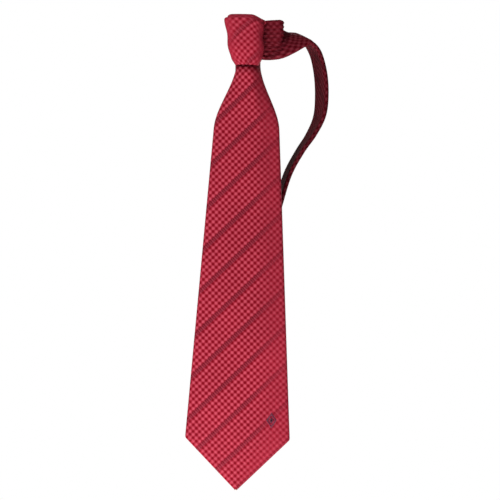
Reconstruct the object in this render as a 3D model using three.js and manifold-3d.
// A silk necktie, knotted and hanging, in millimetres with +Z up and the wearer's front towards -Y.
// The origin is the collar seat: the middle of the knot, where the neck band rests over a collar.
// Heights on the two blades are written as a drop, the distance below the knot's lower edge.
import * as THREE from "three";
import { mergeVertices } from "three/addons/utils/BufferGeometryUtils.js";
import Module from "manifold-3d";

// Knot
const knotHeight = 44;
const knotBottomHalf = 11.2; // half width at the lower edge
const knotFlare = 5.8; // how much wider each side is near the top
const knotTopRound = 2.8; // how far the top corners are rounded in
const knotLean = 4.8; // the top sits this far to the wearer's right
const knotHalfDepth = 10;
const knotDepthBulge = 2;
const knotCentreY = -8;
const knotLayer = 2.2; // one folded thickness of the tie in the knot
const knotCapHeight = 3.2; // the roll of silk over the top
const knotSquareness = 2.4; // exponent of the knot's rounded section

// Front blade, the wide end
const bladeLength = 364; // knot to tip
const bladeTopHalf = 24.8; // the taper's half width, drawn back up to the knot
const bladeHalf = 45; // half width at the corners of the tip
const bladeThroatHalf = 10.3; // half width where the knot pinches it
const bladeShoulder = 55; // drop at which the pinch has opened out
const bladeFrontY = -10.8;
const bladeHinge = 25; // drop of the bend under the knot
const tipRise = 110; // the lower bend's height above the tip

// Tail, the narrow end
const tailLength = 313;
const tailTopHalf = 13.5;
const tailHalf = 20;
const tailThroatHalf = 10;
const tailShoulder = 40;
const tailGap = 1.3; // between the front blade's back and the tail

// Cloth
const silk = 0.8;
const tailSilk = 0.6;
const gap = 0.3; // between layers that touch
const seamGap = 1; // between the two flaps that meet at the back
const interlining = 1.8;
const tailInterlining = 1;
const tipping = 0.5;
const tailTipping = 0.4;
const hem = 9; // silk turned in along the point
const partedShare = 0.72; // how much of the width the parted flaps leave open at the hem
const tackDrop = 14; // the flaps part this far below the top of the point piece
const tailTackRise = 40; // and this far above the tail's corners
const tackBelow = 5; // the sewn bar sits this far into the notch
const tackSize = [3.2, 1];
const tippingAbove = 8; // the tipping reaches this far above the notch
const stitchBelow = 5; // the slip stitch starts this far below the bend
const thread = 0.4;

// Keeper loop, labels and emblem
const keeperDrop = 150;
const keeperHeight = 16;
const keeperCloth = 0.8;
const keeperSlack = 3; // beside the tail, each side
const keeperBehind = 0.5; // behind the tail
const keeperFoot = 7;
const keeperStitchIn = 2; // from the strap's edges
const labelDrop = 200;
const labelSize = [44, 22];
const labelCloth = 0.4;
const careAbove = 4; // the care label is sewn in this far above the tail's notch
const careSize = [16, 24];
const emblemX = 28.7;
const emblemRise = 60; // above the tip
const emblemSize = [7, 12];
const emblemLine = 1.2;

// Neck band
const bandSilk = 0.7;
const bandInterlining = 1;
const bandEase = 0.9; // room on each side of the interlining, where the band twists
const bandRootHalf = 16.5;
const bandHalf = 15;
const bandEntryHalf = 9.5; // gathered where it goes into the back of the knot
const rightRootEnd = 22; // where the right strand starts to turn over
const rightRootY = -3;
const leftRootX = -4;
const leftRootEnd = 8; // how far back the left strand goes before it hangs
const leftRootZ = 4;
const rightSeamShare = 0.42; // where along the band its three lengths are joined
const leftSeamShare = 0.7;
const liningJoinShare = 0.55;

const knotBottom = -knotHeight / 2;
const knotTop = knotHeight / 2;
const bladeThick = 2 * silk + interlining + tipping + 3 * gap;
const tailThick = 2 * tailSilk + tailInterlining + tailTipping + 3 * gap;
const bandThick = 2 * bandSilk + bandInterlining + 2 * bandEase;
const bladeBackY = bladeFrontY + bladeThick;
const tailFrontY = bladeBackY + tailGap;
const tailBackY = tailFrontY + tailThick;
const tipHinge = bladeLength - tipRise;
const cornerDrop = bladeLength - bladeHalf;
const tailCornerDrop = tailLength - tailHalf;

const wasm = await Module();
wasm.setup();

const height = (drop) => knotBottom - drop;
const smooth = (t) => THREE.MathUtils.smoothstep(t, 0, 1);

function toSolid(geometry) {
  const bare = geometry.clone();
  bare.deleteAttribute("normal");
  bare.deleteAttribute("uv");
  const merged = mergeVertices(bare, 1e-4);
  const mesh = new wasm.Mesh({
    numProp: 3,
    vertProperties: merged.attributes.position.array,
    triVerts: new Uint32Array(merged.index.array),
  });
  return new wasm.Manifold(mesh);
}

function toGeometry(solid) {
  const mesh = solid.getMesh();
  const geometry = new THREE.BufferGeometry();
  geometry.setAttribute("position", new THREE.BufferAttribute(mesh.vertProperties, 3));
  geometry.setIndex(new THREE.BufferAttribute(mesh.triVerts, 1));
  geometry.computeVertexNormals();
  return geometry;
}

const cut = (body, ...tools) => tools.reduce((left, tool) => left.subtract(tool), body);

// A flat piece lying in the XZ plane from its outline of [x, drop] points, between two depths.
function plate(outline, frontY, backY) {
  const shape = new THREE.Shape(outline.map(([x, drop]) => new THREE.Vector2(x, height(drop))));
  const flat = new THREE.ExtrudeGeometry(shape, { depth: backY - frontY, bevelEnabled: false });
  return toSolid(flat.rotateX(Math.PI / 2).translate(0, backY, 0));
}

// The same on both sides of the middle line, from the right-hand points, top to bottom.
const mirrored = (right) => [...right, ...right.map(([x, drop]) => [-x, drop]).reverse()];

// Every point of a subdivided unit box moved by place(u, v, w), each from 0 to 1.
function shapedBox([nu, nv, nw], place) {
  const box = new THREE.BoxGeometry(1, 1, 1, nu, nv, nw).translate(0.5, 0.5, 0.5);
  return shaped(box, (p) => place(p.x, p.y, p.z));
}

function shaped(geometry, place) {
  const at = geometry.attributes.position;
  const p = new THREE.Vector3();
  for (let i = 0; i < at.count; i++) {
    p.fromBufferAttribute(at, i);
    at.setXYZ(i, ...place(p).toArray());
  }
  return toSolid(geometry);
}

function box(x0, x1, y0, y1, z0, z1) {
  const made = new THREE.BoxGeometry(x1 - x0, y1 - y0, z1 - z0);
  return toSolid(made.translate((x0 + x1) / 2, (y0 + y1) / 2, (z0 + z1) / 2));
}

// Knot: nested turns of the folded tie, each a stretch of the same rounded section.

function knotPoint(angle, z, inset) {
  const t = (z - knotBottom) / knotHeight;
  const rounding = knotTopRound * smooth((t - 0.85) / 0.15);
  const half = knotBottomHalf + knotFlare * Math.sin((t * Math.PI) / 2) - rounding - inset;
  const deep = knotHalfDepth + knotDepthBulge * Math.sin(Math.PI * t) - inset;
  const round = (v) => Math.sign(v) * Math.abs(v) ** (2 / knotSquareness);
  return new THREE.Vector3(
    half * round(Math.sin(angle)) - knotLean * t,
    knotCentreY - deep * round(Math.cos(angle)),
    z,
  );
}

function knotTurn(fromDegrees, toDegrees, inset, z0, z1) {
  const from = THREE.MathUtils.degToRad(fromDegrees);
  const to = THREE.MathUtils.degToRad(toDegrees);
  return shapedBox([16, 1, 6], (u, v, w) =>
    knotPoint(from + (to - from) * u, z0 + (z1 - z0) * w, inset + knotLayer * v),
  );
}

// The filled section of the knot inside an inset, between two heights.
function knotFill(inset, z0, z1, topShrink) {
  const rod = new THREE.CylinderGeometry(1, 1, 1, 24, 3).rotateX(Math.PI / 2).translate(0, 0, 0.5);
  return shaped(rod, (p) => {
    const z = z0 + (z1 - z0) * p.z;
    const edge = knotPoint(Math.atan2(p.x, -p.y), z, inset + topShrink * p.z);
    const middle = knotPoint(-Math.PI / 2, z, 0).lerp(knotPoint(Math.PI / 2, z, 0), 0.5);
    return middle.lerp(edge, Math.hypot(p.x, p.y));
  });
}

const turnTop = knotTop - knotCapHeight;
const wrapReach = 100; // degrees from the front to the end of the visible turn, each side
const passReach = 62;
const turnGap = 3; // degrees between the ends of the front and back turns

const knot = {
  knot_front_wrap: knotTurn(-wrapReach, wrapReach, 0, knotBottom, turnTop),
  knot_back_wrap: knotTurn(wrapReach + turnGap, 360 - wrapReach - turnGap, 0, knotBottom, turnTop),
  knot_blade_pass: knotTurn(-passReach, passReach, knotLayer + gap, knotBottom, turnTop),
  knot_tail_pass: knotFill(2 * (knotLayer + gap), knotBottom, turnTop, 0),
  knot_top_fold: knotFill(0, turnTop + gap, knotTop, knotCapHeight),
};

// Front blade and tail: the silk is folded round the interlining and its flaps meet at the back.

function bladeHalfAt(drop) {
  const taper = bladeTopHalf + ((bladeHalf - bladeTopHalf) * drop) / cornerDrop;
  return taper - (bladeTopHalf - bladeThroatHalf) * (1 - smooth(drop / bladeShoulder));
}

function tailHalfAt(drop) {
  const taper = tailTopHalf + ((tailHalf - tailTopHalf) * drop) / tailCornerDrop;
  return taper - (tailTopHalf - tailThroatHalf) * (1 - smooth(drop / tailShoulder));
}

// Right-hand outline points between two drops, closer together over the shoulder.
function side(halfAt, shoulder, from, to, inset) {
  const inside = [];
  for (let i = 1; i < 8; i++) inside.push((shoulder * i) / 8);
  inside.push(shoulder);
  const drops = [from, ...inside.filter((d) => d > from && d < to), to];
  return drops.map((d) => [halfAt(d) - inset, d]);
}

// The drop at which the point's edge, moved in by inset, crosses a half width.
const pointDrop = (length, inset, x) => length - inset * Math.SQRT2 - x;

const frontBlade = {
  halfAt: bladeHalfAt,
  shoulder: bladeShoulder,
  length: bladeLength,
  corner: cornerDrop,
  frontY: bladeFrontY,
  thick: bladeThick,
  silk,
  interlining,
  tipping,
};
const tail = {
  halfAt: tailHalfAt,
  shoulder: tailShoulder,
  length: tailLength,
  corner: tailCornerDrop,
  frontY: tailFrontY,
  thick: tailThick,
  silk: tailSilk,
  interlining: tailInterlining,
  tipping: tailTipping,
};

// The silk of a straight stretch: a slab less its pocket and the slot between the flaps.
function silkStretch(b, from, to) {
  const slab = plate(mirrored(side(b.halfAt, b.shoulder, from, to, 0)), b.frontY, b.frontY + b.thick);
  const inner = side(b.halfAt, b.shoulder, from, to, b.silk);
  const long = [[inner[0][0], from - 1], ...inner, [inner.at(-1)[0], to + 1]];
  const pocket = plate(mirrored(long), b.frontY + b.silk, b.frontY + b.thick - b.silk);
  return cut(slab, pocket, seamSlot(b, from - 1, to + 1));
}

function seamSlot(b, from, to) {
  const back = b.frontY + b.thick;
  return box(-seamGap / 2, seamGap / 2, back - b.silk - gap, back + 1, height(to), height(from));
}

// Right-hand outline of a stretch that ends in the point, moved in by inset. The side is straight
// near the corner, so the corner is where two lines cross.
function pointed(b, from, inset) {
  const reach = b.halfAt(b.corner) - inset;
  const slope = b.halfAt(b.corner + 1) - b.halfAt(b.corner);
  const corner = b.corner + (pointDrop(b.length, inset, reach) - b.corner) / (1 + slope);
  return [...side(b.halfAt, b.shoulder, from, corner, inset), [0, pointDrop(b.length, inset, 0)]];
}

const withPoint = (right) => [...right, ...right.slice(0, -1).map(([x, d]) => [-x, d]).reverse()];

// The silk of the pointed end: its flaps part at the tack and show the tipping inside the hem.
function silkPoint(b, from, tackAt) {
  const slab = plate(withPoint(pointed(b, from, 0)), b.frontY, b.frontY + b.thick);
  const inner = pointed(b, from, b.silk);
  const long = [[inner[0][0], from - 1], ...inner];
  const pocket = plate(withPoint(long), b.frontY + b.silk, b.frontY + b.thick - b.silk);
  const corner = b.halfAt(b.corner) * partedShare;
  const opening = [
    [seamGap / 2, tackAt],
    [corner, pointDrop(b.length, hem, corner)],
    [0, pointDrop(b.length, hem, 0)],
  ];
  const back = b.frontY + b.thick;
  const parted = plate(withPoint(opening), back - b.silk - gap, back + 1);
  return cut(slab, pocket, parted, seamSlot(b, from - 1, tackAt + gap));
}

const inset = (b) => b.silk + gap;
const liningFront = (b) => b.frontY + b.silk + gap;

function liningStretch(b, from, to) {
  const outline = mirrored(side(b.halfAt, b.shoulder, from, to, inset(b)));
  return plate(outline, liningFront(b), liningFront(b) + b.interlining);
}

function liningPoint(b, from) {
  const outline = withPoint(pointed(b, from, inset(b)));
  return plate(outline, liningFront(b), liningFront(b) + b.interlining);
}

function tippingPoint(b, from) {
  const front = liningFront(b) + b.interlining + gap;
  return plate(withPoint(pointed(b, from, inset(b))), front, front + b.tipping);
}

// Thread lying in the slot between the flaps.
function slipStitch(b, from, to) {
  const back = b.frontY + b.thick;
  return box(-thread / 2, thread / 2, back - b.silk, back, height(to), height(from));
}

// The sewn bar that ends the seam, in the notch where the flaps part.
function barTack(b, tackAt) {
  const back = b.frontY + b.thick;
  const [wide, tall] = tackSize;
  const top = height(tackAt + tackBelow);
  return box(-wide / 2, wide / 2, back - b.silk, back, top - tall, top);
}

const half = gap / 2;
const bladeTack = tipHinge + tackDrop;
const tailTack = tailCornerDrop - tailTackRise;

const throat = {
  front_throat_silk: silkStretch(frontBlade, gap, bladeHinge - half),
  front_throat_interlining: liningStretch(frontBlade, gap, bladeHinge - half),
  tail_throat_silk: silkStretch(tail, gap, bladeHinge - half),
  tail_throat_interlining: liningStretch(tail, gap, bladeHinge - half),
};

// Keeper loop: a strap sewn to the back of the front blade, which the tail passes through.
const keeperInner = tailHalfAt(keeperDrop + keeperHeight) + keeperSlack;
const keeperBackY = tailBackY + keeperBehind;
const keeperOutline = [
  [keeperInner + keeperFoot, bladeBackY + gap],
  [keeperInner + keeperFoot, bladeBackY + gap + keeperCloth],
  [keeperInner + keeperCloth, bladeBackY + gap + keeperCloth],
  [keeperInner + keeperCloth, keeperBackY + keeperCloth],
  [-keeperInner - keeperCloth, keeperBackY + keeperCloth],
  [-keeperInner - keeperCloth, bladeBackY + gap + keeperCloth],
  [-keeperInner - keeperFoot, bladeBackY + gap + keeperCloth],
  [-keeperInner - keeperFoot, bladeBackY + gap],
  [-keeperInner, bladeBackY + gap],
  [-keeperInner, keeperBackY],
  [keeperInner, keeperBackY],
  [keeperInner, bladeBackY + gap],
];

function keeperLoop() {
  const shape = new THREE.Shape(keeperOutline.map(([x, y]) => new THREE.Vector2(x, y)));
  const strap = new THREE.ExtrudeGeometry(shape, { depth: keeperHeight, bevelEnabled: false });
  return toSolid(strap.translate(0, 0, height(keeperDrop + keeperHeight)));
}

function keeperStitch(sign) {
  const x = sign * (keeperInner + keeperFoot - keeperStitchIn);
  const y = bladeBackY + gap + keeperCloth + gap;
  const top = height(keeperDrop + keeperStitchIn);
  const bottom = height(keeperDrop + keeperHeight - keeperStitchIn);
  return box(x - thread, x + thread, y, y + thread, bottom, top);
}

function label(frontY, drop, [width, tall]) {
  return box(-width / 2, width / 2, frontY, frontY + labelCloth, height(drop + tall), height(drop));
}

// A small raised diamond outline, worked in thread.
function emblem() {
  const diamond = (w, h) => {
    const x = emblemX;
    const drop = bladeLength - emblemRise;
    return [[x + w / 2, drop], [x, drop - h / 2], [x - w / 2, drop], [x, drop + h / 2]].reverse();
  };
  const [w, h] = emblemSize;
  const backY = bladeFrontY - gap;
  const line = plate(diamond(w, h), backY - thread, backY);
  const inner = (w - 2 * emblemLine) / w;
  return cut(line, plate(diamond(w * inner, h * inner), backY - 2 * thread, backY + thread));
}

const bladeBody = {
  front_blade_silk: silkStretch(frontBlade, bladeHinge + half, tipHinge - half),
  front_blade_interlining: liningStretch(frontBlade, bladeHinge + half, tipHinge - half),
  front_slip_stitch: slipStitch(frontBlade, bladeHinge + stitchBelow, tipHinge - gap),
  keeper_loop: keeperLoop(),
  keeper_stitch_left: keeperStitch(-1),
  keeper_stitch_right: keeperStitch(1),
  blank_label: label(bladeBackY + gap, labelDrop, labelSize),
};

const tipBody = {
  front_tip_silk: silkPoint(frontBlade, tipHinge + half, bladeTack),
  front_tip_interlining: liningPoint(frontBlade, tipHinge + half),
  front_tipping: tippingPoint(frontBlade, bladeTack - tippingAbove),
  front_bar_tack: barTack(frontBlade, bladeTack),
  emblem: emblem(),
};

const tailBody = {
  tail_silk: silkPoint(tail, bladeHinge + half, tailTack),
  tail_interlining: liningPoint(tail, bladeHinge + half),
  tail_tipping: tippingPoint(tail, tailTack - tippingAbove),
  tail_bar_tack: barTack(tail, tailTack),
  tail_slip_stitch: slipStitch(tail, bladeHinge + stitchBelow, tailTack),
};

const careBody = { care_label: label(tailBackY + gap, tailTack - careAbove, careSize) };

// Neck band: the same folded build, swept along the loop. Each station is the middle of the band,
// the direction of its width and half that width.
const across = [0, 0, 1];
const standing = [-0.2, 0.98, 0];
const lying = [1, 0, 0];
const backY = 21;
const stations = [
  [[rightRootEnd + gap, rightRootY, 0], across, bandRootHalf],
  [[27, rightRootY, 0], [0, 0.2, 0.98], 16],
  [[33, -1, 0.5], [0, 0.5, 0.87], bandHalf],
  [[41, 6, 1.5], [-0.05, 0.77, 0.64], bandHalf],
  [[50, 15, -0.5], [-0.15, 0.94, 0.3], bandHalf],
  [[57, backY - 1, -11], standing, bandHalf],
  [[61, backY, -26], standing, bandHalf],
  [[62.8, backY, -44], standing, bandHalf],
  [[61.5, backY, -62], standing, bandHalf],
  [[56.5, backY, -78], standing, bandHalf],
  [[47, backY, -93], standing, bandHalf],
  [[37, backY, -113], standing, bandHalf],
  [[30, backY, -140], [-0.1, 1, 0], bandHalf],
  [[24, backY, -172], [0, 1, 0], bandHalf],
  [[15, backY, -202], [0, 1, 0], bandHalf],
  [[0, backY, -216], [0, 1, 0], bandHalf],
  [[-13, backY - 1, -203], [0, 1, 0], bandHalf],
  [[-18, backY - 2, -174], [0.1, 1, 0], bandHalf],
  [[-18, backY - 3, -138], [0.4, 0.9, 0], bandHalf],
  [[-13, backY - 4, -100], [0.75, 0.65, 0], 14],
  [[-7, backY - 4, -62], [0.95, 0.3, 0], 12],
  [[leftRootX, backY - 4, -28], lying, 10],
  [[leftRootX, backY - 5, -9], lying, bandEntryHalf],
  [[leftRootX, backY - 8, 1.5], lying, bandEntryHalf],
  [[leftRootX, leftRootEnd + gap, leftRootZ], lying, bandEntryHalf],
];
const leaveKnot = [[rightRootEnd + gap + 1.5, rightRootY, 0], across, bandRootHalf];
const enterKnot = [[leftRootX, leftRootEnd + gap + 1.5, leftRootZ], lying, bandEntryHalf];
stations.splice(1, 0, leaveKnot);
stations.splice(-1, 0, enterKnot);

const vectors = (list) => list.map((p) => new THREE.Vector3(...p));
const bandRoute = new THREE.CatmullRomCurve3(vectors(stations.map(([p]) => p)), false, "centripetal");
const bandWidthWay = new THREE.CatmullRomCurve3(vectors(stations.map(([, w]) => w)));
const bandHalves = new THREE.CatmullRomCurve3(vectors(stations.map(([, , h]) => [h, 0, 0])));

// A point of the band: t along the route, so far across its width and out from its middle.
function bandPoint(t, acrossBy, outBy) {
  const at = bandRoute.getPoint(t);
  const along = bandRoute.getTangent(t);
  if (t < 1e-6) along.set(1, 0, 0);
  if (t > 1 - 1e-6) along.set(0, -1, 0);
  const wide = bandWidthWay.getPoint(t);
  wide.addScaledVector(along, -wide.dot(along)).normalize();
  const out = new THREE.Vector3().crossVectors(along, wide);
  return at.addScaledVector(wide, acrossBy).addScaledVector(out, outBy);
}

// The folded section, from one flap's free edge round to the other's, as [across, out] pairs.
function foldedSection(halfWidth, halfThick) {
  const flat = halfWidth - halfThick;
  return [
    [seamGap / 2, -halfThick],
    [flat, -halfThick],
    [halfWidth, 0],
    [flat, halfThick],
    [0, halfThick],
    [-flat, halfThick],
    [-halfWidth, 0],
    [-flat, -halfThick],
    [-seamGap / 2, -halfThick],
  ];
}

const bandFolds = 8;
const bandStep = 5; // about how far apart the rings of the swept band are

function bandSilkBetween(place, rings) {
  return shapedBox([bandFolds, 1, rings], (u, v, w) =>
    place(w, (halfWidth) => {
      const inner = v > 0.5;
      const i = Math.round(u * bandFolds);
      const outside = foldedSection(halfWidth, bandThick / 2)[i];
      if (!inner) return outside;
      const fold = Math.abs(outside[1]) < 1e-6;
      const inward = Math.sign(outside[1]) * bandSilk;
      return [outside[0] - (fold ? Math.sign(outside[0]) * (bandSilk + 0.2) : 0), outside[1] - inward];
    }),
  );
}

function bandLiningBetween(place, rings) {
  const clear = bandThick / 2 + gap;
  return shapedBox([2, 1, rings], (u, v, w) =>
    place(w, (halfWidth) => [(2 * u - 1) * (halfWidth - clear), (v - 0.5) * bandInterlining]),
  );
}

// place(w, section) for a stretch of the route between two rings, and for the two straight strands.
const ringCount = Math.round(bandRoute.getLength() / bandStep);
const seamShare = gap / bandRoute.getLength() / 2;

function onRoute(from, to) {
  return (w, section) => {
    const ring = Math.round(from + (to - from) * w);
    const atSeam = (ring === from && from > 0) - (ring === to && to < ringCount);
    const t = ring / ringCount + atSeam * seamShare;
    const [a, out] = section(bandHalves.getPoint(t).x);
    return bandPoint(t, a, out);
  };
}

const rightRootStart = knotPoint(Math.PI / 2, 0, 0).x + gap;
const onRightRoot = (w, section) => {
  const [a, out] = section(bandRootHalf);
  return new THREE.Vector3(rightRootStart + (rightRootEnd - rightRootStart) * w, rightRootY - out, a);
};
const leftRootStart = knotPoint(Math.PI, 0, 0).y + gap;
const onLeftRoot = (w, section) => {
  const [a, out] = section(bandEntryHalf);
  const y = leftRootEnd + (leftRootStart - leftRootEnd) * w;
  return new THREE.Vector3(leftRootX + a, y, leftRootZ + out);
};

const bandPiece = (make, from, to) => make(onRoute(from, to), to - from);
const rightSeam = Math.round(ringCount * rightSeamShare);
const leftSeam = Math.round(ringCount * leftSeamShare);
const liningJoin = Math.round(ringCount * liningJoinShare);

const roots = {
  neck_right_root_silk: bandSilkBetween(onRightRoot, 1),
  neck_right_root_interlining: bandLiningBetween(onRightRoot, 1),
  neck_left_root_silk: bandSilkBetween(onLeftRoot, 1),
  neck_left_root_interlining: bandLiningBetween(onLeftRoot, 1),
};

const loopBody = {
  neck_right_silk: bandPiece(bandSilkBetween, 0, rightSeam),
  neck_gusset_silk: bandPiece(bandSilkBetween, rightSeam, leftSeam),
  neck_left_silk: bandPiece(bandSilkBetween, leftSeam, ringCount),
  neck_interlining_right: bandPiece(bandLiningBetween, 0, liningJoin),
  neck_interlining_left: bandPiece(bandLiningBetween, liningJoin, ringCount),
};

// Colours
const cloth = (color, roughness) => new THREE.MeshStandardMaterial({ color, roughness, metalness: 0 });
const redSilk = cloth("#a3323e", 0.45);
const wool = cloth("#d8d0c0", 0.95);
const lining = cloth("#7d1d2c", 0.5);
const satin = cloth("#2a2326", 0.5);
const redThread = cloth("#8c2230", 0.6);
const plumThread = cloth("#6b2440", 0.5);
const finishes = [
  [/interlining/, wool],
  [/tipping/, lining],
  [/label/, satin],
  [/emblem/, plumThread],
  [/stitch|tack/, redThread],
  [/./, redSilk],
];

const group = new THREE.Group();

function addBody(pieces) {
  const body = new THREE.Group();
  for (const [name, solid] of Object.entries(pieces)) {
    const finish = finishes.find(([kind]) => kind.test(name))[1].clone();
    const mesh = new THREE.Mesh(toGeometry(solid), finish);
    mesh.name = name;
    body.add(mesh);
  }
  group.add(body);
}

[{ ...knot, ...throat, ...roots }, loopBody, bladeBody, tipBody, tailBody, careBody].forEach(addBody);

export default group;
